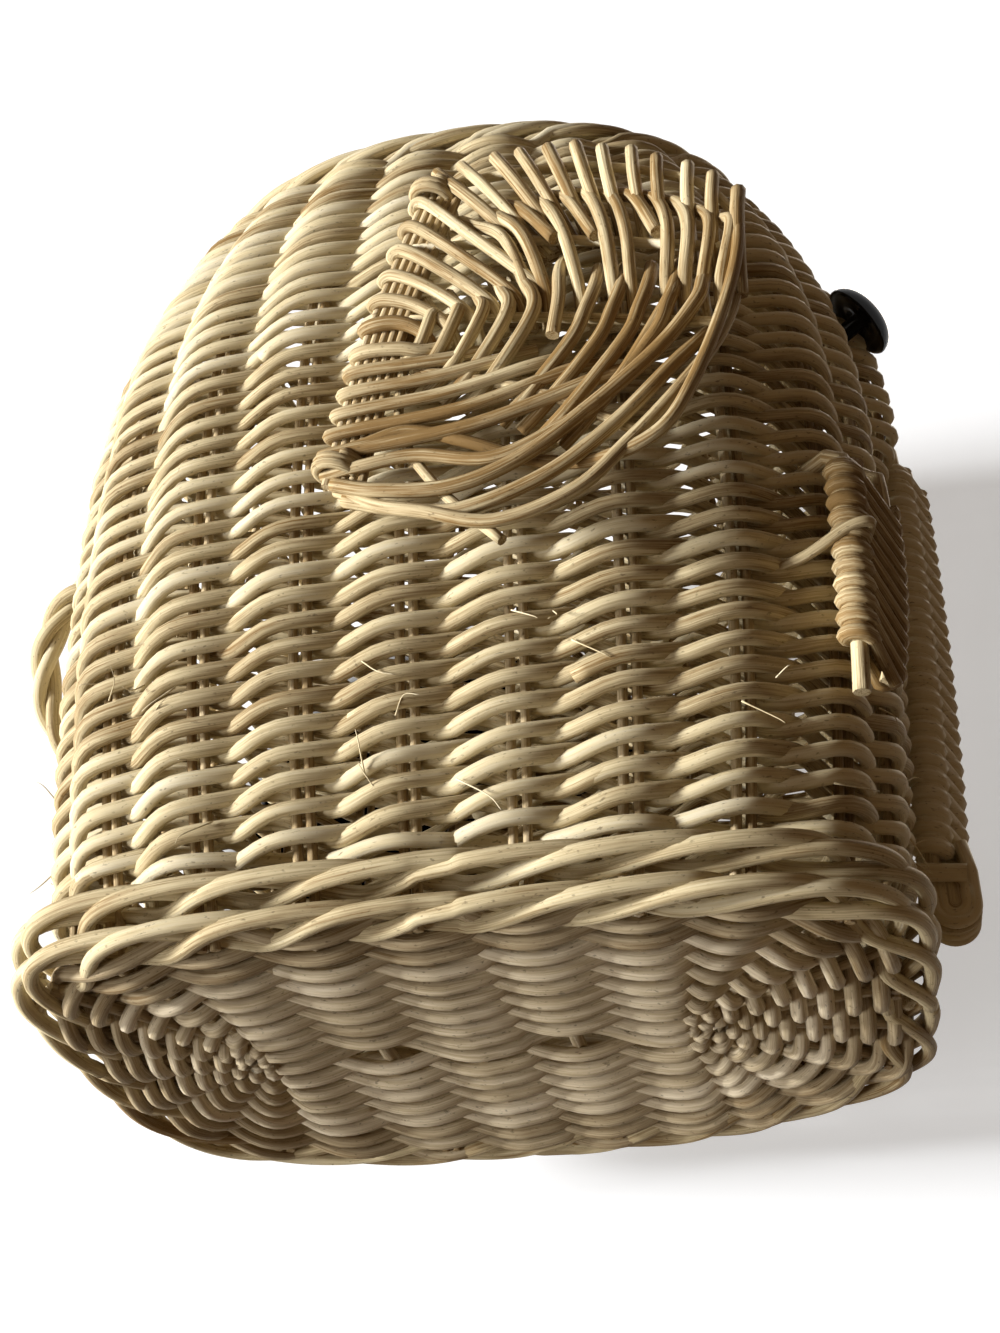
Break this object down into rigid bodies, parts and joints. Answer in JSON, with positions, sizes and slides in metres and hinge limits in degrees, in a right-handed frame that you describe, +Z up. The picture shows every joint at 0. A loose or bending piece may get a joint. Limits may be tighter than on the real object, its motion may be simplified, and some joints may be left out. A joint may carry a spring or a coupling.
{
  "type": "animal-shaped basket",
  "caption": "Open-topped oval cane basket shaped as an elephant, with lashed ears that flap, black button eyes, wound tusks and trunk and a tail loop; holds small things.",
  "frame": {"origin": "middle of the underside of the base", "axes": "+Z up, +X towards the trunk and face, -Y the right flank"},
  "size_m": [0.2551, 0.2244, 0.251],
  "materials": {
    "cane": "natural peeled cane, satin",
    "shaded_cane": "natural cane, darker",
    "base_cane": "natural cane, dull",
    "eye_black": "gloss black"
  },
  "bodies": {
    "basket": {"base_weave": "base_cane", "foot_wale_lower": "shaded_cane", "foot_wale_upper": "shaded_cane", "wall_weave": "cane", "rim_border": "shaded_cane", "trunk_rod_right": "shaded_cane", "trunk_rod_left": "shaded_cane", "trunk_winding": "shaded_cane", "trunk_cross_strip": "cane", "trunk_end_roll": "shaded_cane", "tail_loop": "shaded_cane", "base_rib_1": "base_cane", "base_rib_2": "base_cane", "base_rib_3": "base_cane", "side_stake_pair_01": "shaded_cane", "side_stake_pair_02": "shaded_cane", "side_stake_pair_03": "shaded_cane", "side_stake_pair_04": "shaded_cane", "side_stake_pair_05": "shaded_cane", "side_stake_pair_06": "shaded_cane", "side_stake_pair_07": "shaded_cane", "side_stake_pair_08": "shaded_cane", "side_stake_pair_09": "shaded_cane", "side_stake_pair_10": "shaded_cane", "side_stake_pair_11": "shaded_cane", "side_stake_pair_12": "shaded_cane", "side_stake_pair_13": "shaded_cane", "side_stake_pair_14": "shaded_cane", "side_stake_pair_15": "shaded_cane", "side_stake_pair_16": "shaded_cane", "side_stake_pair_17": "shaded_cane", "side_stake_pair_18": "shaded_cane", "side_stake_pair_19": "shaded_cane", "side_stake_pair_20": "shaded_cane", "side_stake_pair_21": "shaded_cane", "side_stake_pair_22": "shaded_cane", "side_stake_pair_23": "shaded_cane", "side_stake_pair_24": "shaded_cane", "side_stake_pair_25": "shaded_cane", "right_ear_lashing_lower": "shaded_cane", "right_ear_lashing_upper": "shaded_cane", "right_eye_button": "eye_black", "right_eye_washer": "eye_black", "right_tusk_outer_rod": "cane", "right_tusk_inner_rod": "cane", "right_tusk_winding": "cane", "right_tusk_tie": "cane", "left_ear_lashing_lower": "shaded_cane", "left_ear_lashing_upper": "shaded_cane", "left_eye_button": "eye_black", "left_eye_washer": "eye_black", "left_tusk_outer_rod": "cane", "left_tusk_inner_rod": "cane", "left_tusk_winding": "cane", "left_tusk_tie": "cane"},
    "right_ear": {"right_ear_weave": "cane", "right_ear_edge_rods": "shaded_cane"},
    "left_ear": {"left_ear_weave": "cane", "left_ear_edge_rods": "shaded_cane"}
  },
  "joints": [
    {"name": "right_ear_flap", "type": "hinge", "parent": "basket", "child": "right_ear", "pos_m": [-0.02013, -0.0965, 0.108], "axis": [-0.2434, 0, -0.9699], "range_deg": [0, 35]},
    {"name": "left_ear_flap", "type": "hinge", "parent": "basket", "child": "left_ear", "pos_m": [-0.02013, 0.0965, 0.108], "axis": [0.2434, 0, 0.9699], "range_deg": [0, 35]}
  ]
}
